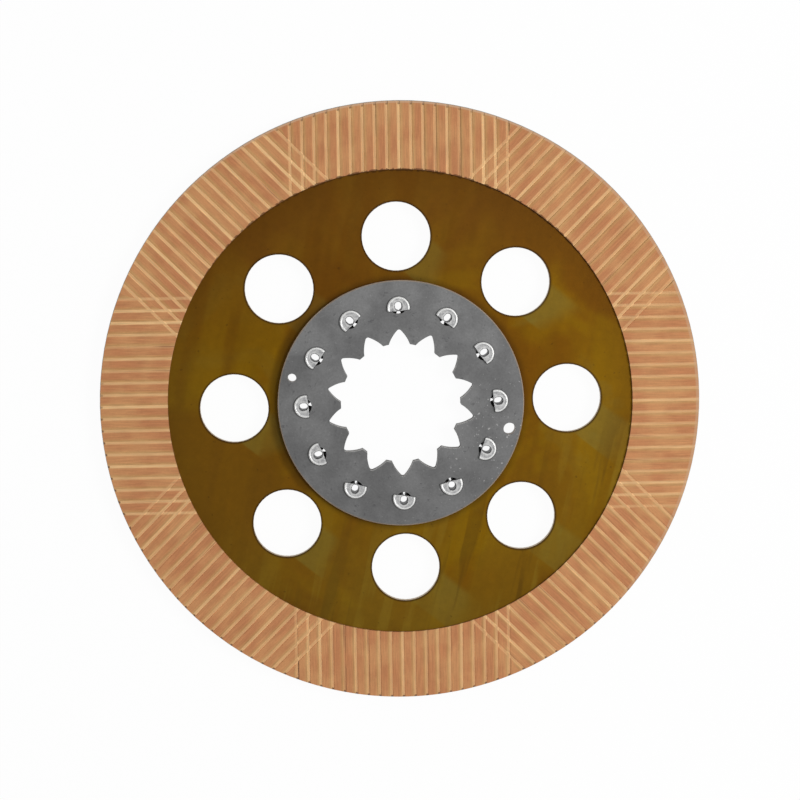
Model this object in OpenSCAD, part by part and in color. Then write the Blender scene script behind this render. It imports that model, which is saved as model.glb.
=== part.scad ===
// Wet brake friction disc: a varnished steel core plate with a grooved paper lining bonded to
// each face, and a splined hub of three riveted layers. Millimetres, +Z is the disc's axis, the
// origin is at the centre of its thickness, and +Y points at a lightening hole and a rivet.

/* [Core plate] */
// Outer diameter of the steel core plate
core_outer_d = 330.8; // [320:0.2:345]
// Thickness of the core plate
core_t = 4; // [3:0.1:6]
// Chamfer on both rims of the core plate
core_chamfer = 0.3; // [0.1:0.1:0.8]

/* [Lightening holes] */
// Number of lightening holes
hole_count = 8; // [6:1:8]
// Diameter of each lightening hole
hole_d = 37.6; // [30:0.2:42]
// Width of core plate left between a lightening hole and the hub's rim
hole_to_hub = 5.15; // [3:0.05:10]
// Chamfer on both edges of each lightening hole
hole_chamfer = 0.3; // [0.1:0.1:1]

/* [Friction linings] */
// Width of steel left bare outside each lining
lining_set_in = 0.4; // [0.1:0.1:5]
// Width of the ring that each lining forms
lining_w = 36.85; // [32:0.05:42]
// Thickness of each lining
lining_t = 1.2; // [1:0.1:4]

/* [Oil grooves] */
// Number of groove groups round each lining
group_count = 8; // [6:1:10]
// Number of parallel grooves in a group
grooves_per_group = 19; // [9:2:21]
// Distance from one groove to the next
groove_pitch = 6.58; // [4:0.02:7]
// Width of a groove
groove_w = 1.6; // [0.8:0.1:3]
// Depth of a groove
groove_depth = 0.4; // [0.2:0.1:0.9]
// Turn of the groove groups from the lightening holes, in degrees
groove_turn = -0.8; // [-10:0.1:10]
// Sideways set of groups one to four, anticlockwise from +Y
group_shift_a = [1.1, 0.9, 0.6, 0.3]; // [-3:0.1:3]
// Sideways set of groups five to eight
group_shift_b = [0.9, 0.3, 0.7, 0.6]; // [-3:0.1:3]

/* [Hub plates] */
// Outer diameter of the hub plates
hub_outer_d = 135.7; // [130:0.1:142]
// Thickness of each hub plate
hub_t = 2.4; // [1.5:0.1:5]
// Chamfer on the outer rim of each hub plate
hub_chamfer = 0.4; // [0.1:0.1:1]
// Diameter of the smaller locating hole
small_locating_d = 4.8; // [3:0.1:6]
// Diameter of the larger locating hole
large_locating_d = 6.7; // [4:0.1:7]
// Distance from the hub's rim in to the centre of each locating hole
locating_inset = 6.25; // [5:0.05:8]
// Angle from +X to the larger hole, which faces the smaller one
locating_angle = -15; // [-20:1:-10]

/* [Spline] */
// Number of spline teeth
spline_teeth = 14; // [12:1:15]
// Pitch diameter of the spline
spline_pitch_d = 71.1; // [70:0.1:73]
// Pressure angle of the involute flanks
pressure_angle = 35; // [30:0.5:36]
// Width of a tooth space along the pitch circle
space_w = 9.35; // [8.6:0.05:9.8]
// Diameter across the tooth crests
spline_minor_d = 66.2; // [65:0.1:68]
// Radius of the full fillet at the bottom of each tooth space
root_fillet_r = 1.4; // [0.8:0.1:2]
// Extra radius of the core plate's spline, which leaves the hub plates to carry the load
core_spline_relief = 0.2; // [0.1:0.05:0.5]

/* [Rivets] */
// Number of rivets
rivet_count = 12; // [8:1:12]
// How far the rivet circle lies inside the middle of the band between spline and rim
rivet_set_in = 0.65; // [-1:0.05:1.5]
// Diameter of the shank
shank_d = 8.9; // [7:0.1:9.3]
// Radial clearance between a shank and its hole
shank_clearance = 0.05; // [0.02:0.01:0.2]
// Diameter of the heads
head_d = 12.4; // [11.8:0.1:12.8]
// How far each head was spread off the shank's axis, towards the flat side
head_spread = 1; // [0.2:0.1:1.2]
// Height of each head above its hub plate
head_t = 1.4; // [0.8:0.1:2]
// Chamfer round each head
head_chamfer = 0.5; // [0.1:0.1:0.7]
// Width of the oval bore through a rivet
rivet_bore_w = 3.7; // [3:0.1:4]
// How much longer than wide the bore is, square to the flat side
bore_stretch = 0.9; // [0.2:0.1:1]
// Widening of the bore at each end
bore_flare = 0.2; // [0.1:0.05:0.3]
// Depth to which the bore is widened
bore_flare_depth = 1.8; // [0.5:0.1:3]
// Distance from a rivet's axis to the middle of its flat side
flat_offset = 2.75; // [2.75:0.05:3.2]
// Angle by which each half of the flat side leans back
flat_lean = 3.5; // [0.5:0.5:8]
// Distance from the axis to the edge of the rear head
lobe_offset = 5; // [4.9:0.1:5.2]
// Width of the split in the tube, at the rivet's axis
split_w = 0.8; // [0.4:0.1:1.2]
// Angle between the two sides of the split
split_angle = 17; // [8:1:30]
// Length of tube left whole between the split and the front hub plate's face
split_stop = 1.9; // [1:0.1:4]
// Turn of rivets one to four about their own axes, anticlockwise from +Y
rivet_turn_a = [4, 15, -6, 5]; // [-20:1:20]
// Turn of rivets five to eight
rivet_turn_b = [-8, 16, -9, -16]; // [-20:1:20]
// Turn of rivets nine to twelve
rivet_turn_c = [11, 5, 5, -9]; // [-20:1:20]

/* [Hidden] */
$fn = 96;
cut = 1;
core_face = core_t / 2;
hub_face = core_face + hub_t;
rivet_end = hub_face + head_t;
lining_outer_d = core_outer_d - 2 * lining_set_in;
lining_inner_d = lining_outer_d - 2 * lining_w;
hole_pitch_d = hub_outer_d + 2 * hole_to_hub + hole_d;
locating_pitch_d = hub_outer_d - 2 * locating_inset;
group_shifts = concat(group_shift_a, group_shift_b);
rivet_turns = concat(rivet_turn_a, rivet_turn_b, rivet_turn_c);
flank_steps = 7;
steepest = 80;

minor_r = spline_minor_d / 2;
base_r = spline_pitch_d / 2 * cos(pressure_angle);
base_half = space_w / spline_pitch_d * 180 / PI + involute(pressure_angle);
fillet_angle = inverse_involute(base_half - root_fillet_r / base_r * 180 / PI);
fillet_centre_r = base_r / cos(fillet_angle);
fillet_touch_r = norm([base_r, base_r * tan(fillet_angle) + root_fillet_r]);
spline_root_r = fillet_centre_r + root_fillet_r;
rivet_circle_r = (hub_outer_d / 2 + spline_root_r) / 2 - rivet_set_in;

rivet_names = [for (i = [1 : rivet_count]) str("rivet_", i < 10 ? "0" : "", i)];

// Involute function of an angle, in degrees
function involute(a) = tan(a) * 180 / PI - a;

// Angle whose involute is v, found by halving the interval
function inverse_involute(v, low = 0, high = steepest, steps = 40) =
    let (middle = (low + high) / 2)
    steps == 0 ? middle
    : involute(middle) > v ? inverse_involute(v, low, middle, steps - 1)
    : inverse_involute(v, middle, high, steps - 1);

// Half the angle that a tooth space spans at radius r
function space_half_angle(r) = base_half - involute(acos(base_r / r));

// Point on one flank of the tooth space that is centred on +Y
function flank_point(r, side) =
    [side * r * sin(space_half_angle(r)), r * cos(space_half_angle(r))];

// Radius of flank step k, from just inside the crests out to the fillet
function flank_r(k) = (minor_r - cut) + (fillet_touch_r - minor_r + cut) * k / flank_steps;

// One tooth space: two involute flanks joined by a full fillet
module tooth_space() {
    polygon(concat(
        [for (k = [0 : flank_steps]) flank_point(flank_r(k), 1)],
        [for (k = [flank_steps : -1 : 0]) flank_point(flank_r(k), -1)]
    ));
    translate([0, fillet_centre_r])
        circle(r = root_fillet_r);
}

// The splined opening, from height z upwards
module spline_opening(z, h) {
    translate([0, 0, z])
        linear_extrude(h) {
            circle(r = minor_r);
            for (i = [0 : spline_teeth - 1])
                rotate(360 / spline_teeth * i)
                    tooth_space();
        }
}

// Round holes for the rivets and for locating the plates, from height z upwards
module hub_holes(z, h) {
    for (i = [0 : rivet_count - 1])
        rotate(360 / rivet_count * i)
            translate([0, rivet_circle_r, z])
                cylinder(d = shank_d + 2 * shank_clearance, h = h);
    rotate(locating_angle)
        translate([locating_pitch_d / 2, 0, z])
            cylinder(d = large_locating_d, h = h);
    rotate(locating_angle + 180)
        translate([locating_pitch_d / 2, 0, z])
            cylinder(d = small_locating_d, h = h);
}

// A lightening hole with a chamfer at both faces, centred on the origin
module lightening_hole() {
    cylinder(d = hole_d, h = core_t + 2 * cut, center = true);
    for (side = [0, 1])
        mirror([0, 0, side])
            translate([0, 0, core_face - hole_chamfer])
                cylinder(r1 = hole_d / 2, r2 = hole_d / 2 + hole_chamfer + cut, h = hole_chamfer + cut);
}

module core_plate() {
    outer_r = core_outer_d / 2;
    color([0.42, 0.31, 0.1])
        difference() {
            rotate_extrude()
                polygon([
                    [0, -core_face], [outer_r - core_chamfer, -core_face],
                    [outer_r, -core_face + core_chamfer], [outer_r, core_face - core_chamfer],
                    [outer_r - core_chamfer, core_face], [0, core_face]
                ]);
            scale(1 + core_spline_relief / minor_r)
                spline_opening(-core_t, 2 * core_t);
            hub_holes(-core_t, 2 * core_t);
            for (i = [0 : hole_count - 1])
                rotate(360 / hole_count * i)
                    translate([0, hole_pitch_d / 2])
                        lightening_hole();
        }
}

// The cuts of one gang of parallel grooves, which runs outwards along +Y
module groove_gang(shift) {
    half = (grooves_per_group - 1) / 2;
    for (n = [-half : half])
        translate([shift + groove_pitch * n - groove_w / 2, lining_inner_d / 4, lining_t - groove_depth])
            cube([groove_w, lining_outer_d / 2, groove_depth + cut]);
}

// A plain ring that stands on z = 0
module lining_ring() {
    difference() {
        cylinder(d = lining_outer_d, h = lining_t);
        translate([0, 0, -cut])
            cylinder(d = lining_inner_d, h = lining_t + 2 * cut);
    }
}

// The ring after the first few groove groups have been cut into its top, one group at a time
module grooved_ring(groups) {
    if (groups == 0)
        lining_ring();
    else
        difference() {
            grooved_ring(groups - 1);
            rotate(groove_turn + 360 / group_count * (groups - 1))
                groove_gang(group_shifts[(groups - 1) % len(group_shifts)]);
        }
}

// A grooved lining that stands on z = 0
module lining() {
    color([0.79, 0.57, 0.4])
        grooved_ring(group_count);
}

module front_lining() {
    translate([0, 0, core_face])
        lining();
}

module rear_lining() {
    rotate([0, 180, 0])
        translate([0, 0, core_face])
            lining();
}

// A hub plate that lies on the core plate's front face, with its outer rim chamfered
module hub_plate() {
    outer_r = hub_outer_d / 2;
    color([0.46, 0.46, 0.46])
        difference() {
            rotate_extrude()
                polygon([
                    [0, core_face], [outer_r, core_face], [outer_r, hub_face - hub_chamfer],
                    [outer_r - hub_chamfer, hub_face], [0, hub_face]
                ]);
            spline_opening(core_face - cut, hub_t + 2 * cut);
            hub_holes(core_face - cut, hub_t + 2 * cut);
        }
}

module front_hub_plate() {
    hub_plate();
}

module rear_hub_plate() {
    mirror([0, 0, 1])
        hub_plate();
}

// A round rivet head that stands on z = 0
module rivet_head() {
    head_r = head_d / 2;
    rotate_extrude()
        polygon([
            [0, 0], [head_r, 0], [head_r, head_t - head_chamfer],
            [head_r - head_chamfer, head_t], [0, head_t]
        ]);
}

// The oval bore, which widens towards both ends
module rivet_bore() {
    half_w = rivet_bore_w / 2;
    past_end = half_w + bore_flare + cut * bore_flare / bore_flare_depth;
    wall = [
        [past_end, -rivet_end - cut], [half_w, -rivet_end + bore_flare_depth],
        [half_w, rivet_end - bore_flare_depth], [past_end, rivet_end + cut]
    ];
    far_wall = [for (k = [len(wall) - 1 : -1 : 0]) [-wall[k][0], wall[k][1]]];
    for (y = [-bore_stretch / 2, bore_stretch / 2])
        translate([0, y])
            rotate_extrude()
                polygon(concat([[0, -rivet_end - cut]], wall, [[0, rivet_end + cut]]));
    rotate([90, 0, 0])
        linear_extrude(bore_stretch, center = true)
            polygon(concat(wall, far_wall));
}

// What the flat side takes off the front head and the shank
module rivet_flat() {
    lean = tan(flat_lean);
    translate([0, -flat_offset, -hub_face])
        linear_extrude(hub_face + rivet_end + cut)
            polygon([
                [0, 0], [-1, lean] * head_d, [-1, -1] * head_d, [1, -1] * head_d, [1, lean] * head_d
            ]);
}

// The split, which opens the tube towards -Y from the rear end up
module rivet_split() {
    half_w = split_w / 2;
    widen = head_d * tan(split_angle / 2);
    translate([0, 0, -rivet_end - cut])
        linear_extrude(cut + rivet_end + hub_face - split_stop)
            polygon([
                [-half_w, 0], [-half_w - widen, -head_d], [half_w + widen, -head_d], [half_w, 0]
            ]);
}

// A tubular rivet on the Z axis with its flat side towards -Y. The flat side runs down the front
// head and the shank, and the rear head reaches past it as two lobes with the split between them.
module rivet() {
    color([0.85, 0.85, 0.85])
        difference() {
            union() {
                cylinder(d = shank_d, h = 2 * hub_face, center = true);
                for (side = [0, 1])
                    mirror([0, 0, side])
                        translate([0, -head_spread, hub_face])
                            rivet_head();
            }
            rivet_bore();
            rivet_flat();
            rivet_split();
            translate([-head_d, -lobe_offset - head_d, -rivet_end - cut])
                cube([2 * head_d, head_d, 2 * rivet_end]);
        }
}

// Rivet number i in its place, with its flat side towards the disc's centre
module placed_rivet(i) {
    rotate(360 / rivet_count * i)
        translate([0, rivet_circle_r])
            rotate(rivet_turns[i % len(rivet_turns)])
                rivet();
}

core_plate();
front_lining();
rear_lining();
front_hub_plate();
rear_hub_plate();
for (i = [0 : rivet_count - 1])
    placed_rivet(i);
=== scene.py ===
import math

import bpy
from mathutils import Matrix, Vector


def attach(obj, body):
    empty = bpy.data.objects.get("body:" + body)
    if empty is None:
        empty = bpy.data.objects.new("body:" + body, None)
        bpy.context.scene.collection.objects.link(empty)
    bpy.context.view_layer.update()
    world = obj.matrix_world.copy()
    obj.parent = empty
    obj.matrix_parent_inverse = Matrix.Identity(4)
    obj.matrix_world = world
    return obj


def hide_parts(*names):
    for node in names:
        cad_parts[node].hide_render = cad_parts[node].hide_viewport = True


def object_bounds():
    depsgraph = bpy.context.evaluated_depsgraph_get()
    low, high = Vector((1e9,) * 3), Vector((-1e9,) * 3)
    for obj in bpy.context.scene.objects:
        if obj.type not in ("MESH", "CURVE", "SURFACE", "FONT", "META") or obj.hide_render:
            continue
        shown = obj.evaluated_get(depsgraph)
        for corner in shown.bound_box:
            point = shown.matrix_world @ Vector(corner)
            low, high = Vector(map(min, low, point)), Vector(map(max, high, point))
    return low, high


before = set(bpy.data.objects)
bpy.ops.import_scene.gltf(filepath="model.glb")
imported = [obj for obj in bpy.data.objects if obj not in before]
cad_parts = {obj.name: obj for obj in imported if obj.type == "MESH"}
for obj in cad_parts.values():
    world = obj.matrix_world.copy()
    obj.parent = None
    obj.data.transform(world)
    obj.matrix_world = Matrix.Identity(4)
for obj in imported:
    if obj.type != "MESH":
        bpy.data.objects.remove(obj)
cad_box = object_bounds()

MM = 0.001
ROUND_SIDES = 72

# Sizes that the looks share with the solids, in millimetres and degrees
CORE_OUTER_R = 165.4
CORE_FACE = 2.0
HOLE_COUNT = 8
HOLE_R = 18.8
HOLE_CIRCLE_R = 91.8
LINING_OUTER_R = 165.0
LINING_INNER_R = 128.15
GANG_COUNT = 8
GROOVES_EACH_SIDE = 9
GROOVE_PITCH = 6.58
GROOVE_HALF_W = 0.8
GANG_TURN = -0.8
GANG_SHIFTS = (1.1, 0.9, 0.6, 0.3, 0.9, 0.3, 0.7, 0.6)
HUB_R = 67.85
HUB_FACE = 4.4
SPLINE_R = 41.5
RIVET_COUNT = 12
RIVET_CIRCLE_R = 53.685
RIVET_SHANK_R = 4.45
RIVET_HEAD_R = 6.2
RIVET_HEAD_T = 1.4
RIVET_SPREAD = 1.0
RIVET_BORE_HALF_W = 1.85
RIVET_BORE_STRETCH = 0.9
RIVET_FLAT = 2.75
RIVET_FLAT_LEAN = 3.5
RIVET_LOBE = 5.0
RIVET_SPLIT_STOP = 1.9
RIVET_TURNS = (4, 15, -6, 5, -8, 16, -9, -16, 11, 5, 5, -9)

# The split as it opens in the photographed heads, sharper than in the solids
RIVET_SLIT_W = 0.6
RIVET_SPLIT_FROM = 2.2
RIVET_SPLIT_ANGLE = 46


# The camera

def place_camera():
    """Stands the camera where the photograph was taken from."""
    stand = Vector((-0.0294, 0.1089, 1.0578))
    up = Vector((0.0321, 0.9943, -0.1014))
    back = stand.normalized()
    right = up.cross(back).normalized()
    turned = Matrix((right, back.cross(right), back)).transposed()
    data = bpy.data.cameras.new("camera")
    data.sensor_width = 36
    data.lens = 86.63
    data.shift_x = -0.00109
    data.shift_y = 0.00346
    data.clip_start = 0.01
    data.clip_end = 50
    camera = bpy.data.objects.new("camera", data)
    camera.matrix_world = Matrix.Translation(stand) @ turned.to_4x4()
    bpy.context.scene.collection.objects.link(camera)
    bpy.context.scene.camera = camera


# Shader graphs

class Signal:
    """A value in a shader graph that can be used in sums."""

    def __init__(self, graph, socket):
        self.graph = graph
        self.socket = socket

    def __add__(self, other):
        return self.graph.sum("ADD", self, other)

    def __radd__(self, other):
        return self.graph.sum("ADD", other, self)

    def __sub__(self, other):
        return self.graph.sum("SUBTRACT", self, other)

    def __rsub__(self, other):
        return self.graph.sum("SUBTRACT", other, self)

    def __mul__(self, other):
        return self.graph.sum("MULTIPLY", self, other)

    def __rmul__(self, other):
        return self.graph.sum("MULTIPLY", other, self)

    def __truediv__(self, other):
        return self.graph.sum("DIVIDE", self, other)

    def __neg__(self):
        return self.graph.sum("MULTIPLY", self, -1)

    def __abs__(self):
        return self.graph.sum("ABSOLUTE", self)

    def __lt__(self, other):
        return self.graph.sum("LESS_THAN", self, other)

    def __gt__(self, other):
        return self.graph.sum("GREATER_THAN", self, other)


class Graph:
    """The nodes of one material, or of the world."""

    def __init__(self, tree):
        self.tree = tree
        tree.nodes.clear()

    def node(self, kind, settings=None, inputs=None, output=0):
        """Adds a node with its settings first and then its sockets, and gives one of its outputs."""
        made = self.tree.nodes.new(kind)
        for name, value in (settings or {}).items():
            if name == "stops":
                ramp = made.color_ramp
                while len(ramp.elements) < len(value):
                    ramp.elements.new(1)
                for element, (at, colour) in zip(ramp.elements, value):
                    element.position = at
                    element.color = (*colour, 1)
            elif name == "interpolation":
                made.color_ramp.interpolation = value
            else:
                setattr(made, name, value)
        for name, value in (inputs or {}).items():
            if isinstance(value, Signal):
                self.tree.links.new(value.socket, made.inputs[name])
            else:
                made.inputs[name].default_value = value
        return Signal(self, made.outputs[output]) if len(made.outputs) else made

    def sum(self, operation, *values):
        return self.node("ShaderNodeMath", {"operation": operation}, dict(enumerate(values)))

    def blend(self, amount, first, second):
        """One colour going over into another as the amount goes from 0 to 1."""
        return self.node(
            "ShaderNodeMix", {"data_type": "RGBA", "clamp_factor": True},
            {0: amount, 6: first, 7: second}, 2,
        )

    def shade(self, colour, amount):
        """A colour made lighter or darker by an amount round 1."""
        return self.node(
            "ShaderNodeVectorMath", {"operation": "SCALE"}, {"Vector": colour, "Scale": amount}, 0
        )

    def rise(self, value, low, high):
        """0 below low, 1 above high, and smooth in between."""
        return self.node(
            "ShaderNodeMapRange", {"interpolation_type": "SMOOTHSTEP"},
            {"Value": value, "From Min": low, "From Max": high},
        )

    def pick(self, number, values):
        """The value that has this number in a list."""
        low = min(values)
        span = max(values) - low
        stops = [(n / len(values), ((value - low) / span,) * 3) for n, value in enumerate(values)]
        picked = self.node(
            "ShaderNodeValToRGB", {"stops": stops, "interpolation": "CONSTANT"},
            {0: (number + 0.5) / len(values)},
        )
        return picked * span + low

    def place(self):
        """Object coordinates as a vector, and x, y and z in millimetres."""
        vector = self.node("ShaderNodeTexCoord", output="Object")
        parts = self.node("ShaderNodeSeparateXYZ", inputs={0: vector})
        outs = parts.socket.node.outputs
        return (vector, *[Signal(self, out) * 1000 for out in outs])

    def cloud(self, vector, scale, detail=2, roughness=0.5, distortion=0.0, stretch=(1, 1, 1), turn=0):
        """Soft noise from 0 to 1. The scale counts features a metre, the stretch lengthens them along
        the axes, and the turn in degrees then turns those axes about Z."""
        laid = self.node(
            "ShaderNodeMapping", {"vector_type": "TEXTURE"},
            {"Vector": vector, "Rotation": (0, 0, math.radians(turn)), "Scale": stretch},
        )
        return self.node(
            "ShaderNodeTexNoise",
            inputs={
                "Vector": laid, "Scale": scale, "Detail": detail,
                "Roughness": roughness, "Distortion": distortion,
            },
        )

    def bump(self, strength, height):
        """A normal from a height from 0 to 1, which stands for 0.2 mm."""
        return self.node(
            "ShaderNodeBump", inputs={"Strength": strength, "Distance": 0.2 * MM, "Height": height}
        )


def paint(red, green, blue):
    """A colour given as it looks on a screen, from 0 to 255, for a shader's socket."""
    linear = []
    for part in (red, green, blue):
        share = part / 255
        linear.append(share / 12.92 if share <= 0.04045 else ((share + 0.055) / 1.055) ** 2.4)
    return (*linear, 1)


def new_finish(name):
    material = bpy.data.materials.new(name)
    material.use_nodes = True
    return material, Graph(material.node_tree)


def close_finish(graph, colour, roughness, metallic, normal=None, fixed=None):
    """Ends a graph in one surface shader. Fixed holds what is the same all over."""
    inputs = {"Base Color": colour, "Roughness": roughness, "Metallic": metallic}
    if normal is not None:
        inputs["Normal"] = normal
    surface = graph.node("ShaderNodeBsdfPrincipled", inputs={**inputs, **(fixed or {})})
    graph.node("ShaderNodeOutputMaterial", inputs={"Surface": surface})


def radius_of(graph, x, y):
    return graph.sum("SQRT", x * x + y * y)


def share_out(graph, x, y, count, turn=0):
    """Splits the disc into equal sectors from +Y, anticlockwise. Gives the sector, the angle from its
    middle, and the radius."""
    step = 2 * math.pi / count
    angle = graph.sum("ARCTAN2", -x, y) - math.radians(turn)
    sector = graph.sum("ROUND", angle / step)
    return sector, angle - sector * step, radius_of(graph, x, y)


# Varnished core plate

SHEEN_RIGHT = 0.77
SHEEN_DOWN = 0.64
STREAK_LEAN = -15


def reflection_and_olive_patches(g, x, y, sector, angle, from_hole, patches, low):
    """Painted reflections: lighter olive wedges that run out from the lower right of each hole, with
    straight edges, and a few olive patches of the varnish's own colour between the holes."""
    turn = sector * (2 * math.pi / HOLE_COUNT)
    right = x + g.sum("SINE", turn) * HOLE_CIRCLE_R
    above = y - g.sum("COSINE", turn) * HOLE_CIRCLE_R
    beside = right * SHEEN_DOWN + above * SHEEN_RIGHT
    along = right * SHEEN_RIGHT - above * SHEEN_DOWN
    reflection_and_olive = g.rise(beside, -13.5, -12) * (1 - g.rise(beside + patches * 8, 12, 16))
    reflection_and_olive = reflection_and_olive * g.rise(along, 0, 6) * (1 - g.rise(abs(angle) + patches * 0.1, 0.31, 0.42))
    reflection_and_olive = reflection_and_olive * (1 - g.rise(from_hole + patches * 14 - low * 14, 12, 32))
    return reflection_and_olive + g.rise(patches, 0.56, 0.66) * 0.35


def rim_ticks(g, x, y, z):
    """Dark ends of the grooves on the narrow rim outside the lining, in the lower half."""
    sector, angle, radius = share_out(g, x, y, GANG_COUNT, GANG_TURN)
    number, beside = groove_of(g, sector, angle, radius)
    on_rim = (radius > LINING_OUTER_R - 1) * (abs(z) > CORE_FACE - 0.32)
    in_groove = 1 - g.rise(abs(beside), 0.7, 1.0)
    return on_rim * in_groove * (1 - g.rise(y, 0, 100)) * (1 - g.rise(x * 0.9 + y * 0.3, 60, 120))


def varnished_core():
    material, g = new_finish("varnished_core")
    vector, x, y, z = g.place()
    sector, angle, radius = share_out(g, x, y, HOLE_COUNT)
    out = radius * g.sum("COSINE", angle) - HOLE_CIRCLE_R
    across = radius * g.sum("SINE", angle)
    from_hole = radius_of(g, across, out) - HOLE_R

    clouds = g.cloud(vector, 14, 3, 0.6, 0.6)
    patches = g.cloud(vector, 17, 4, 0.6, 0.8)
    runs = g.cloud(vector, 38, 3, 0.55, 0.3, (1, 7, 1), STREAK_LEAN)
    fine_runs = g.cloud(vector, 130, 2, 0.5, 0.2, (1, 10, 1), STREAK_LEAN + 3)
    colour = g.blend(g.rise(clouds, 0.4, 0.58), paint(130, 83, 2), paint(144, 104, 0))
    high = g.rise(y - x * 0.2, 20, 115)
    colour = g.blend(high * 0.7, colour, paint(120, 76, 18))
    low = g.rise(-y, -30, 80)
    # Painted reflection: lighter olive wedges off the lower right of each hole, with olive patches of the
    # varnish
    reflection_and_olive = reflection_and_olive_patches(g, x, y, sector, angle, from_hole, patches, low)
    colour = g.blend(reflection_and_olive * (0.72 - high * 0.3 + low * 0.1), colour, paint(138, 114, 40))
    colour = g.blend(g.rise(runs, 0.5, 0.62) * 0.5, colour, paint(118, 72, 4))
    colour = g.shade(colour, 0.88 + fine_runs * 0.24)
    colour = g.blend(g.rise(radius, 108, 130) * 0.4, colour, paint(104, 64, 4))
    # Painted sheen on the lower right: lighter streaks, with darker streaks between them
    low_right = g.rise(x * 0.4 - y * 1.2, 20, 130)
    colour = g.blend(low_right * g.rise(runs, 0.4, 0.56) * 0.35, colour, paint(156, 124, 22))
    sheen_streaks = g.cloud(vector, 90, 3, 0.6, 0.2, (1, 12, 1), STREAK_LEAN + 1)
    colour = g.blend(low_right * g.rise(sheen_streaks, 0.55, 0.63) * 0.36, colour, paint(160, 130, 38))
    colour = g.blend(low_right * g.rise(1 - sheen_streaks, 0.56, 0.66) * 0.45, colour, paint(92, 62, 10))
    lower_left = g.rise(-x - y, 50, 130)
    mottle = g.cloud(vector, 260, 3, 0.7)
    colour = g.blend(lower_left * 0.25, colour, paint(134, 108, 34))
    colour = g.shade(colour, 0.82 + lower_left * 0.02 + mottle * 0.32)
    # Painted shadow of the hub on the core: a narrow band all round its edge, and a wider, deeper one on
    # the left
    hub_shadow_near = 1 - g.rise(radius, HUB_R - 1, HUB_R + 4.5)
    band = 1 - g.rise(radius, HUB_R + 3, HUB_R + 7)
    hub_shadow_left = g.rise(-x, 40, 64)
    colour = g.shade(colour, 1 - hub_shadow_near * (0.45 - hub_shadow_left * 0.36) - band * hub_shadow_left * 0.4)
    # Darker in a narrow ring round the edge of each hole
    hole_edge_dark = 1 - g.rise(from_hole, 0.2, 1.4)
    colour = g.blend(hole_edge_dark * 0.8, colour, paint(56, 34, 8))
    wall = g.rise(CORE_FACE - abs(z), 0.3, 0.4) * (1 - g.rise(from_hole, 0.4, 0.9))
    colour = g.blend(wall * 0.9, colour, paint(186, 166, 136))
    spots = g.cloud(vector, 420, 1)
    colour = g.blend(g.rise(spots, 0.73, 0.79) * 0.4, colour, paint(76, 48, 6))
    top_side = g.rise(y, 50, 105)
    ragged = g.rise(g.cloud(vector, 420, 2, 0.6), 0.4, 0.6) * top_side
    beside_lining = g.rise(radius + ragged * 0.9, LINING_INNER_R - 0.35, LINING_INNER_R - 0.05)
    beside_lining = beside_lining * (radius < LINING_INNER_R + 1) * g.rise(x + y * 0.2, -110, 10)
    colour = g.blend(beside_lining * (0.45 + top_side * 0.1), colour, paint(60, 34, 12))
    bare = g.rise(radius, CORE_OUTER_R - 0.9, CORE_OUTER_R - 0.4) + (radius < SPLINE_R)
    colour = g.blend(bare, colour, paint(150, 146, 140))
    colour = g.blend(rim_ticks(g, x, y, z) * 0.9, colour, paint(48, 38, 34))

    grain = g.cloud(vector, 700, 3)
    bump = g.bump(0.25, grain * 0.5 + clouds)
    close_finish(g, colour, 0.34 + clouds * 0.16, 0.55, bump, {"Specular IOR Level": 0.2})
    return material


# Friction paper

def groove_of(g, sector, angle, radius):
    """The groove of one gang that a point is nearest to: its number, and how far beside it that is."""
    shift = g.pick(g.sum("WRAP", sector, GANG_COUNT, 0), GANG_SHIFTS)
    lane = (-radius * g.sum("SINE", angle) - shift) / GROOVE_PITCH
    number = g.sum("ROUND", lane)
    return number, (lane - number) * GROOVE_PITCH


def by_number(g, number, plain, odd):
    """A value for each groove of a gang: the plain one, and the odd ones by their number."""
    numbers = range(-GROOVES_EACH_SIDE, GROOVES_EACH_SIDE + 1)
    value = g.pick(number + GROOVES_EACH_SIDE, [odd.get(n, plain) for n in numbers])
    return value * (abs(number) < GROOVES_EACH_SIDE + 0.5)


# How the pressing left the grooves (lightness and scores), the painted shadow line on a groove's edge away
# from the light, and which side that is: by groove, the same in each gang, and by gang, anticlockwise from
# +Y
GROOVE_LIGHTNESS = {-9: 0.6, -5: 0.9, 0: 0.9, 3: 0.48, 4: 0.75, 5: 0.36, 7: 0.9, 8: 0.8, 9: 0.5}
GANG_LIGHTNESS = (1.0, 1.15, 1.1, 0.8, 0.75, 0.85, 0.85, 0.85)
GROOVE_SHADOW_LINE = {-9: 0.2, -2: 0.3, 2: 0.2, 3: 0.3, 5: 0.4, 9: 0.9}
GANG_SHADOW_LINE = (1.0, 0.0, 0.2, 0.0, 0.9, 0.3, 0.0, 0.4)
GANG_AWAY = (1, 1, 0, -1, -1, -1, 0, 1)
GROOVE_SCORE = {3: 0.7, 5: 1.0, 9: 0.8}


def groove_light(g, gang, number, beside):
    """How much a groove is lightened, and how far a point lies on its side away from the light."""
    away = g.pick(gang, GANG_AWAY)
    # The pale band is shifted 0.2 mm towards the side facing the light, a painted highlight on the groove's
    # lit wall
    band = 1 - g.rise(abs(beside + away * 0.2), 0.6, 1.1)
    lightness = by_number(g, number, 0.64, GROOVE_LIGHTNESS) * g.pick(gang, GANG_LIGHTNESS)
    return lightness * band, beside * away


def dim_side(g, away):
    """The strip of a groove that lies in its own wall's shadow."""
    return 1 - g.rise(abs(away - 0.6), 0.1, 0.4)


def cutter_lines(g, sector, angle, radius):
    """Fine light and dark lines that the cutter left along the grooves."""
    across = radius * g.sum("SINE", angle) * MM
    along = radius * g.sum("COSINE", angle) * MM / 16
    laid = g.node("ShaderNodeCombineXYZ", inputs={0: across, 1: along, 2: sector * 0.05})
    return g.cloud(laid, 1200, 2, 0.6)


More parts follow.
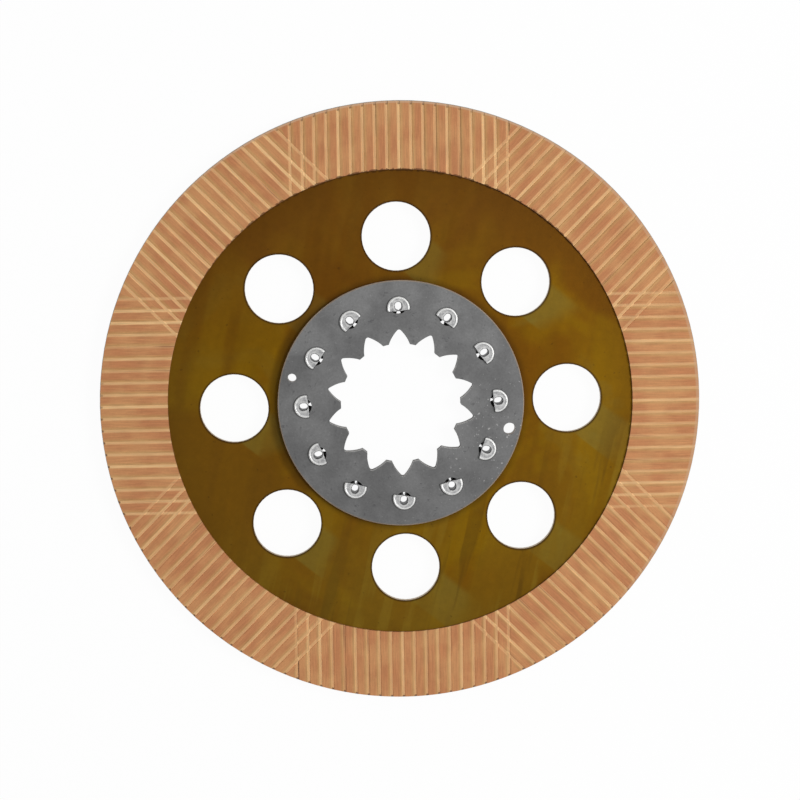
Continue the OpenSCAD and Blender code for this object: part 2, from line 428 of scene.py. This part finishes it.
def friction_paper():
    material, g = new_finish("friction_paper")
    vector, x, y, z = g.place()
    sector, angle, radius = share_out(g, x, y, GANG_COUNT, GANG_TURN)
    number, beside = groove_of(g, sector, angle, radius)
    side = g.sum("SIGN", angle)
    next_angle = angle - side * (2 * math.pi / GANG_COUNT)
    next_number, next_beside = groove_of(g, sector + side, next_angle, radius)

    fibres = g.cloud(vector, 900, 4, 0.65)
    mottle = g.cloud(vector, 60, 3)
    salmon = g.blend(g.rise(mottle, 0.35, 0.65), paint(192, 129, 86), paint(202, 144, 96))
    tan = g.blend(g.rise(mottle, 0.35, 0.65), paint(190, 141, 90), paint(200, 154, 102))
    beyond = 1 - g.rise(beside, 0.9, 3.0)
    before = g.rise(beside, -GROOVE_PITCH / 2, -GROOVE_PITCH / 2 + 0.6)
    colour = g.blend(beyond * before * g.rise(beside, 0.0, 0.5), salmon, tan)
    colour = g.shade(colour, 0.89 + fibres * 0.22)

    gang = g.sum("WRAP", sector, GANG_COUNT, 0)
    next_gang = g.sum("WRAP", sector + side, GANG_COUNT, 0)
    light, away = groove_light(g, gang, number, beside)
    next_light, next_away = groove_light(g, next_gang, next_number, next_beside)
    worn = g.cloud(vector, 110, 2)
    cut = g.sum("MAXIMUM", light, next_light) * (0.75 + worn * 0.5)
    colour = g.blend(cut, colour, paint(232, 191, 138))
    colour = g.shade(colour, 0.7 + cutter_lines(g, sector, angle, radius) * 0.6)
    # Painted light: the strip of each groove in its own wall's shadow is lightened, evening out that shadow
    next_dim = dim_side(g, next_away) * (abs(next_number) < GROOVES_EACH_SIDE + 0.5)
    colour = g.shade(colour, 1 + g.sum("MAXIMUM", dim_side(g, away), next_dim) * 0.3)
    # Painted shadow line on some grooves' edge away from the light
    shadow_line = by_number(g, number, 0.0, GROOVE_SHADOW_LINE) * (1 - g.rise(abs(away - GROOVE_HALF_W), 0.1, 0.4))
    shadow_line = shadow_line * g.pick(gang, GANG_SHADOW_LINE) * g.rise(mottle, 0.3, 0.5)
    colour = g.blend(shadow_line, colour, paint(96, 56, 38))
    score = by_number(g, number, 0.0, GROOVE_SCORE) * (1 - g.rise(abs(beside - 0.1), 0.1, 0.4))
    score = score * (1 - g.rise(radius + mottle * 16, LINING_INNER_R + 12, LINING_INNER_R + 24))
    colour = g.blend(score * 0.5, colour, paint(124, 66, 44))
    upper = g.rise(y, -20, 40)
    groove_end = g.rise(radius + upper * 1.0, LINING_OUTER_R - 1.2, LINING_OUTER_R - 0.5)
    groove_end = groove_end * (1 - g.rise(abs(beside), 0.3, 0.9)) * (1 - g.rise(x * 0.9 + y * 0.3, 60, 120))
    groove_end = groove_end * (1 - upper * g.rise(abs(x), 55, 80))
    colour = g.blend(groove_end * (0.85 - upper * 0.2), colour, paint(100, 66, 50))
    right_side = g.rise(x, 60, 140)
    strip = g.rise(radius + right_side * 0.6, LINING_OUTER_R - 1.2, LINING_OUTER_R - 0.8)
    strip = strip * g.rise(x + y, -40, 60)
    colour = g.blend(strip * (0.75 - right_side * 0.3), colour, paint(206, 170, 138))
    ragged = g.rise(g.cloud(vector, 420, 2, 0.6), 0.4, 0.6) * g.rise(y, 50, 105)
    inner = 1 - g.rise(radius - ragged * 0.75, LINING_INNER_R - 0.15, LINING_INNER_R + 0.15)
    colour = g.blend(inner * 0.75, colour, paint(92, 56, 30))

    bump = g.bump(0.35, fibres)
    close_finish(g, colour, 0.82 - cut * 0.06, 0.0, bump, {"Specular IOR Level": 0.25})
    return material


# Hub plates

def from_rivet(g, x, y):
    """How far a point lies from the nearest rivet's axis, along its flat side and away from it."""
    sector, angle, radius = share_out(g, x, y, RIVET_COUNT)
    turn = g.pick(g.sum("WRAP", sector, RIVET_COUNT, 0), [math.radians(turn) for turn in RIVET_TURNS])
    out = radius * g.sum("COSINE", angle) - RIVET_CIRCLE_R
    left = radius * g.sum("SINE", angle)
    along = out * g.sum("COSINE", turn) + left * g.sum("SINE", turn)
    across = left * g.sum("COSINE", turn) - out * g.sum("SINE", turn)
    return across, along


def satin_hub():
    material, g = new_finish("satin_hub")
    vector, x, y, z = g.place()
    radius = radius_of(g, x, y)
    mottle = g.cloud(vector, 45, 4, 0.6)
    grain = g.cloud(vector, 850, 3, 0.7)
    colour = g.blend(g.rise(mottle, 0.35, 0.65), paint(120, 120, 120), paint(137, 137, 137))
    colour = g.shade(colour, 0.74 + grain * 0.5)
    # Painted shade and light: darker towards the lower right, lighter towards the top
    colour = g.shade(colour, 1 - g.rise(x - y, 20, 100) * 0.11 + g.rise(y, 10, 60) * 0.08)
    for turn, scale in ((18, 1560), (-37, 1950), (71, 1430)):
        scratch = g.cloud(vector, scale, 2, 0.5, 0.2, (26, 1, 1), turn)
        colour = g.blend(g.rise(scratch, 0.69, 0.76) * 0.35, colour, paint(150, 150, 150))
    specks = g.cloud(vector, 620, 2, 0.6)
    right_side = g.rise(x, -10, 60)
    low_right = 1 - g.rise(radius_of(g, x - 48, y + 22), 12, 34)
    specks = g.rise(specks + low_right * 0.03, 0.68, 0.76)
    colour = g.blend(specks * (0.25 + right_side * 0.7), colour, paint(200, 200, 198))
    smudges = g.cloud(vector, 210, 4, 0.75)
    colour = g.blend(g.rise(smudges, 0.59, 0.7) * 0.6, colour, paint(84, 84, 86))
    across, along = from_rivet(g, x, y)
    # Painted contact shadow: a dark ring on the hub round each rivet head, except on its flat side
    from_head = radius_of(g, across, along + RIVET_SPREAD) - RIVET_HEAD_R
    head_contact_shadow = (1 - g.rise(from_head, 0.2, 0.8)) * g.rise(along, -3.2, -2.6)
    colour = g.blend(head_contact_shadow * 0.5, colour, paint(60, 60, 62))
    # Painted highlight on the hub's chamfered rim, tinted brown by the reflected core
    rim = g.rise(radius, HUB_R - 0.7, HUB_R - 0.35)
    colour = g.blend(rim * 0.8, colour, paint(170, 152, 132))
    bump = g.bump(0.2, grain * 0.4 + mottle)
    close_finish(g, colour, 0.42 + mottle * 0.12, 0.55, bump)
    return material


# Rivets

def bright_rivet():
    material, g = new_finish("bright_rivet")
    vector, x, y, z = g.place()
    across, along = from_rivet(g, x, y)
    from_middle = radius_of(g, across, along + RIVET_SPREAD)
    straight = g.sum("MAXIMUM", abs(along) - RIVET_BORE_STRETCH / 2, 0)
    from_bore = radius_of(g, across, straight) - RIVET_BORE_HALF_W
    mottle = g.cloud(vector, 520, 3, 0.6)
    colour = g.blend(g.rise(mottle, 0.35, 0.65), paint(176, 176, 177), paint(214, 214, 213))
    # Painted highlight on the rolled crest round the bore
    crest_highlight = 1 - g.rise(abs(from_bore - 0.85), 0.1, 0.45)
    colour = g.blend(crest_highlight * 0.5, colour, paint(234, 234, 232))
    # Painted shade inside the bore: dark in its rounded mouth, darkest on its wall
    mouth = 1 - g.rise(from_bore, 0.15, 0.5)
    colour = g.blend(mouth * 0.75, colour, paint(76, 76, 78))
    wall = 1 - g.rise(from_bore, 0.05, 0.2)
    colour = g.blend(wall * 0.8, colour, paint(30, 30, 32))
    # Painted highlight along the head's bevelled rim
    lip_highlight = g.rise(from_middle, RIVET_HEAD_R - 1.2, RIVET_HEAD_R - 0.7)
    colour = g.blend(lip_highlight * 0.9, colour, paint(250, 250, 248))
    # Painted shade at the foot of the head, where it meets the hub
    foot = 1 - g.rise(abs(z), HUB_FACE + 0.05, HUB_FACE + 0.35)
    colour = g.blend(foot * 0.8, colour, paint(50, 50, 52))
    bump = g.bump(0.4, mottle)
    close_finish(g, colour, 0.36 + mottle * 0.15, 0.35, bump)
    return material


def pick_only(piece):
    bpy.ops.object.select_all(action="DESELECT")
    piece.select_set(True)
    bpy.context.view_layer.objects.active = piece


def block(low, high):
    """A box between two corners, in millimetres."""
    middle = [(a + b) / 2 * MM for a, b in zip(low, high)]
    size = [(b - a) * MM for a, b in zip(low, high)]
    bpy.ops.object.select_all(action="DESELECT")
    bpy.ops.mesh.primitive_cube_add(size=1, location=middle, scale=size)
    bpy.ops.object.transform_apply(location=True, rotation=True, scale=True)
    return bpy.context.object


def turn_block(piece, degrees, pivot):
    pick_only(piece)
    bpy.ops.transform.rotate(value=math.radians(degrees), orient_axis="Z", center_override=pivot)
    bpy.ops.object.transform_apply(location=True, rotation=True, scale=True)
    return piece


def combine(piece, other, operation):
    """Joins another piece to this one, or cuts it out of this one, and removes the other."""
    pick_only(piece)
    step = piece.modifiers.new("step", "BOOLEAN")
    step.operation = operation
    step.solver = "EXACT"
    step.object = other
    bpy.ops.object.modifier_apply(modifier=step.name)
    bpy.data.objects.remove(other)
    return piece


def turned_stack(levels):
    """A solid of discs, given as (radius, height) in millimetres from the bottom up, round the Z axis."""
    bpy.ops.object.select_all(action="DESELECT")
    radius, height = levels[0]
    bpy.ops.mesh.primitive_circle_add(
        vertices=ROUND_SIDES, radius=radius * MM, location=(0, 0, height * MM), fill_type="NGON"
    )
    piece = bpy.context.object
    bpy.ops.object.transform_apply(location=True, rotation=True, scale=True)
    bpy.ops.object.mode_set(mode="EDIT")
    bpy.ops.mesh.select_all(action="SELECT")
    for next_radius, next_height in levels[1:]:
        grow = next_radius / radius
        bpy.ops.mesh.extrude_region_move(
            TRANSFORM_OT_translate={"value": (0, 0, (next_height - height) * MM)}
        )
        bpy.ops.transform.resize(value=(grow, grow, 1), center_override=(0, 0, 0))
        radius, height = next_radius, next_height
    bpy.ops.mesh.select_all(action="SELECT")
    bpy.ops.mesh.normals_make_consistent(inside=False)
    bpy.ops.object.mode_set(mode="OBJECT")
    return piece


def move_half(piece, side, shift):
    """Moves the vertices on one side of the XZ plane along Y, in millimetres."""
    pick_only(piece)
    bpy.ops.object.mode_set(mode="EDIT")
    bpy.ops.mesh.select_all(action="DESELECT")
    bpy.ops.object.mode_set(mode="OBJECT")
    for corner in piece.data.vertices:
        corner.select = corner.co.y * side > 0.01 * MM
    bpy.ops.object.mode_set(mode="EDIT")
    bpy.ops.transform.translate(value=(0, shift * side * MM, 0))
    bpy.ops.object.mode_set(mode="OBJECT")
    return piece


def rivet_head(foot):
    """A head with a rolled rim round a shallow dish, from height foot up, spread towards -Y."""
    top = HUB_FACE + RIVET_HEAD_T
    rim = RIVET_HEAD_R
    head = turned_stack([
        (rim, foot), (rim, top - 0.75), (rim - 0.1, top - 0.36), (rim - 0.38, top - 0.08),
        (rim - 0.75, top), (rim - 1.15, top - 0.16), (rim - 1.6, top - 0.22),
        (rim - 2.8, top - 0.1), (0.2, top - 0.06),
    ])
    bpy.ops.transform.translate(value=(0, -RIVET_SPREAD * MM, 0))
    bpy.ops.object.transform_apply(location=True, rotation=True, scale=True)
    return head


def oval_bore():
    """The shape of the hollow through a rivet, which opens in a rounded mouth at both ends."""
    top = HUB_FACE + RIVET_HEAD_T
    half_w = RIVET_BORE_HALF_W
    mouth = [
        (half_w, top - 1.8), (half_w + 0.1, top - 0.8), (half_w + 0.2, top - 0.3),
        (half_w + 0.5, top + 0.05), (half_w + 0.5, top + 1),
    ]
    hollow = turned_stack([(radius, -height) for radius, height in reversed(mouth)] + mouth)
    for side in (1, -1):
        move_half(hollow, side, RIVET_BORE_STRETCH / 2)
    return hollow


def rivet_split():
    """The slit that opens the tube towards -Y from the rear end up, and widens outwards."""
    bottom = -HUB_FACE - RIVET_HEAD_T - 1
    top = HUB_FACE - RIVET_SPLIT_STOP
    far = RIVET_SPLIT_FROM + 6
    half_w = RIVET_SLIT_W / 2
    far_half_w = half_w + (far - RIVET_SPLIT_FROM) * math.tan(math.radians(RIVET_SPLIT_ANGLE / 2))
    wedge = block((-far_half_w, -far, bottom), (far_half_w, -RIVET_SPLIT_FROM, top))
    bpy.ops.object.mode_set(mode="EDIT")
    bpy.ops.mesh.select_all(action="DESELECT")
    bpy.ops.object.mode_set(mode="OBJECT")
    for corner in wedge.data.vertices:
        corner.select = corner.co.y > -(RIVET_SPLIT_FROM + 1) * MM
    bpy.ops.object.mode_set(mode="EDIT")
    bpy.ops.transform.resize(value=(half_w / far_half_w, 1, 1), center_override=(0, 0, 0))
    bpy.ops.object.mode_set(mode="OBJECT")
    slit = block((-half_w, -RIVET_SPLIT_FROM - 1, bottom), (half_w, 0, top))
    return combine(wedge, slit, "UNION")


def rivet_blank():
    """One tubular rivet on the Z axis, with its flat side towards -Y and its split head below."""
    top = HUB_FACE + RIVET_HEAD_T
    reach = 2 * RIVET_HEAD_R
    blank = turned_stack([(RIVET_SHANK_R, -HUB_FACE - 0.3), (RIVET_SHANK_R, HUB_FACE + 0.3)])
    combine(blank, rivet_head(HUB_FACE), "UNION")
    rear_head = rivet_head(HUB_FACE)
    pick_only(rear_head)
    bpy.ops.transform.mirror(constraint_axis=(False, False, True), center_override=(0, 0, 0))
    bpy.ops.object.transform_apply(location=True, rotation=True, scale=True)
    bpy.ops.object.mode_set(mode="EDIT")
    bpy.ops.mesh.select_all(action="SELECT")
    bpy.ops.mesh.normals_make_consistent(inside=False)
    bpy.ops.object.mode_set(mode="OBJECT")
    combine(blank, rear_head, "UNION")
    combine(blank, oval_bore(), "DIFFERENCE")
    for lean in (RIVET_FLAT_LEAN, -RIVET_FLAT_LEAN):
        flat = block((-reach, -reach, -HUB_FACE), (reach, -RIVET_FLAT, top + 1))
        turn_block(flat, lean, (0, -RIVET_FLAT * MM, 0))
        combine(blank, flat, "DIFFERENCE")
    combine(blank, block((-reach, -reach, -top - 1), (reach, -RIVET_LOBE, top + 1)), "DIFFERENCE")
    combine(blank, rivet_split(), "DIFFERENCE")
    pick_only(blank)
    soften = blank.modifiers.new("soften", "BEVEL")
    soften.width = 0.1 * MM
    soften.segments = 2
    soften.limit_method = "ANGLE"
    soften.angle_limit = math.radians(50)
    bpy.ops.object.modifier_apply(modifier=soften.name)
    bpy.ops.object.shade_smooth_by_angle(angle=math.radians(32))
    return blank


def set_rivets(finish):
    blank = rivet_blank()
    blank.data.materials.clear()
    blank.data.materials.append(finish)
    for number, own_turn in enumerate(RIVET_TURNS):
        step = math.radians(360 / RIVET_COUNT * number)
        rivet = blank.copy()
        rivet.data = blank.data.copy()
        rivet.name = f"rivet_{number + 1:02d}_finished"
        bpy.context.scene.collection.objects.link(rivet)
        rivet.rotation_euler = (0, 0, step + math.radians(own_turn))
        reach = RIVET_CIRCLE_R * MM
        rivet.location = (-math.sin(step) * reach, math.cos(step) * reach, 0)
        pick_only(rivet)
        bpy.ops.object.transform_apply(location=True, rotation=True, scale=True)
        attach(rivet, "root")
        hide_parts(f"rivet_{number + 1:02d}")
    bpy.data.objects.remove(blank)


# Floor, backdrop and light

def seen_directly(g):
    """1 for rays from the camera and for those that a gloss or a glass sends on."""
    path = g.node("ShaderNodeLightPath")
    outs = path.socket.node.outputs
    camera, gloss, glass = (
        Signal(g, outs[name]) for name in ("Is Camera Ray", "Is Glossy Ray", "Is Transmission Ray")
    )
    return g.sum("MAXIMUM", g.sum("MAXIMUM", camera, gloss), glass)


def lay_floor():
    bpy.ops.object.select_all(action="DESELECT")
    bpy.ops.mesh.primitive_plane_add(size=8, location=(0, 0, cad_box[0].z - 0.0001))
    floor = bpy.context.object
    floor.name = "floor"
    material, g = new_finish("white_floor")
    matt = g.node("ShaderNodeBsdfDiffuse", inputs={"Color": (0.9, 0.9, 0.9, 1)})
    glow = g.node("ShaderNodeEmission", inputs={"Color": (1, 1, 1, 1), "Strength": 1.0})
    shown = g.node("ShaderNodeMixShader", inputs={0: seen_directly(g) * 0.96, 1: matt, 2: glow})
    g.node("ShaderNodeOutputMaterial", inputs={"Surface": shown})
    floor.data.materials.append(material)


def light_world():
    world = bpy.data.worlds.new("studio")
    world.use_nodes = True
    bpy.context.scene.world = world
    g = Graph(world.node_tree)
    towards = g.node("ShaderNodeTexCoord", output="Generated")
    parts = g.node("ShaderNodeSeparateXYZ", inputs={0: towards})
    up = Signal(g, parts.socket.node.outputs["Z"])
    seen = g.blend(g.rise(up, 0.3, 0.75), (1, 1, 1, 1), (0.22, 0.22, 0.22, 1))
    colour = g.blend(seen_directly(g), (0.42, 0.42, 0.42, 1), seen)
    surface = g.node("ShaderNodeBackground", inputs={"Color": colour, "Strength": 1.0})
    g.node("ShaderNodeOutputWorld", inputs={"Surface": surface})


def soft_lamp(name, stand, size, power):
    data = bpy.data.lights.new(name, "AREA")
    data.shape = "DISK"
    data.size = size
    data.energy = power
    lamp = bpy.data.objects.new(name, data)
    lamp.location = stand
    lamp.rotation_mode = "QUATERNION"
    lamp.rotation_quaternion = Vector(stand).to_track_quat("Z", "Y")
    bpy.context.scene.collection.objects.link(lamp)


def main():
    bpy.context.scene.view_settings.view_transform = "Standard"
    place_camera()
    finishes = {
        "core_plate": varnished_core(),
        "lining": friction_paper(),
        "hub": satin_hub(),
    }
    for name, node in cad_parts.items():
        for word, finish in finishes.items():
            if word in name:
                node.data.materials.clear()
                node.data.materials.append(finish)
    set_rivets(bright_rivet())
    lay_floor()
    light_world()
    soft_lamp("key_lamp", (1.35, 0.1, 1.45), 0.9, 22.5)
    soft_lamp("fill_lamp", (0.4, 0.9, 1.5), 0.7, 2)


main()
